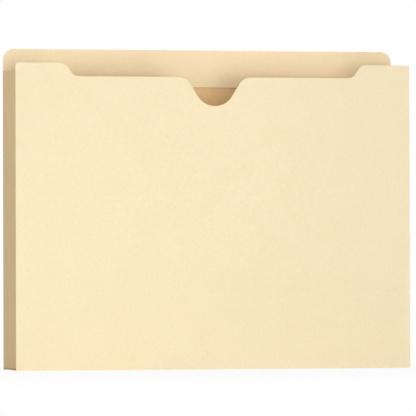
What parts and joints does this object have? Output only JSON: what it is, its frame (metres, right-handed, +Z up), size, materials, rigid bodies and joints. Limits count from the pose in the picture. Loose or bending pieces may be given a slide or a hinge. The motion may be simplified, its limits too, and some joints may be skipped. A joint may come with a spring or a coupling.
{
  "type": "expanding file jacket",
  "caption": "Manila card file jacket, open at the top, with a high rounded back tab, a front with raised wings and a thumb notch, and scored side and bottom gussets that fold flat.",
  "frame": {"origin": "on the ground under the middle of the pocket, half way between front and back", "axes": "+X along the width to the right as seen from the front, +Y from front to back, +Z up"},
  "size_m": [0.299, 0.052, 0.2381],
  "materials": {
    "manila_card": "matte",
    "manila_ply": "matte",
    "pressed_score": "matte",
    "dried_glue": "satin"
  },
  "bodies": {
    "back": {"back_panel": "manila_card", "tab_ply": "manila_ply", "tab_glue": "dried_glue", "left_rear_flap": "manila_card", "left_rear_glue": "dried_glue", "left_rear_score": "pressed_score", "right_rear_flap": "manila_card", "right_rear_glue": "dried_glue", "right_rear_score": "pressed_score", "bottom_rear_score": "pressed_score"},
    "left_rear": {"left_gusset_rear": "manila_card", "left_mid_score": "pressed_score"},
    "left_front": {"left_gusset_front": "manila_card"},
    "right_rear": {"right_gusset_rear": "manila_card", "right_mid_score": "pressed_score"},
    "right_front": {"right_gusset_front": "manila_card"},
    "bottom_rear": {"bottom_rear": "manila_card", "bottom_mid_score": "pressed_score"},
    "bottom_front": {"bottom_front": "manila_card"},
    "front": {"front_panel": "manila_card", "left_front_flap": "manila_card", "left_front_glue": "dried_glue", "left_front_score": "pressed_score", "right_front_flap": "manila_card", "right_front_glue": "dried_glue", "right_front_score": "pressed_score", "bottom_front_score": "pressed_score"}
  },
  "joints": [
    {"name": "left_rear_fold", "type": "hinge", "parent": "back", "child": "left_rear", "pos_m": [-0.14893, 0.0254, 0.11], "axis": [0, 0, 1], "range_deg": [0, 86]},
    {"name": "left_mid_fold", "type": "hinge", "parent": "left_rear", "child": "left_front", "pos_m": [-0.14921, 0, 0.11], "axis": [0, 0, 1], "range_deg": [-172, 0]},
    {"name": "left_front_fold", "type": "hinge", "parent": "left_front", "child": "front", "pos_m": [-0.14893, -0.0254, 0.11], "axis": [0, 0, 1], "range_deg": [0, 86]},
    {"name": "right_rear_fold", "type": "hinge", "parent": "back", "child": "right_rear", "pos_m": [0.14893, 0.0254, 0.11], "axis": [0, 0, 1], "range_deg": [-86, 0]},
    {"name": "right_mid_fold", "type": "hinge", "parent": "right_rear", "child": "right_front", "pos_m": [0.14921, 0, 0.11], "axis": [0, 0, 1], "range_deg": [0, 172]},
    {"name": "bottom_rear_fold", "type": "hinge", "parent": "back", "child": "bottom_rear", "pos_m": [0, 0.0254, 0.0003], "axis": [1, 0, 0], "range_deg": [0, 86]},
    {"name": "bottom_mid_fold", "type": "hinge", "parent": "bottom_rear", "child": "bottom_front", "pos_m": [0, 0, 0.00058], "axis": [1, 0, 0], "range_deg": [-172, 0]}
  ],
  "couplings": [
    {"joint": "left_mid_fold", "follows": "left_rear_fold", "ratio": -2},
    {"joint": "left_front_fold", "follows": "left_rear_fold", "ratio": 1},
    {"joint": "right_rear_fold", "follows": "left_rear_fold", "ratio": -1},
    {"joint": "right_mid_fold", "follows": "left_rear_fold", "ratio": 2},
    {"joint": "bottom_rear_fold", "follows": "left_rear_fold", "ratio": 1},
    {"joint": "bottom_mid_fold", "follows": "left_rear_fold", "ratio": -2}
  ]
}
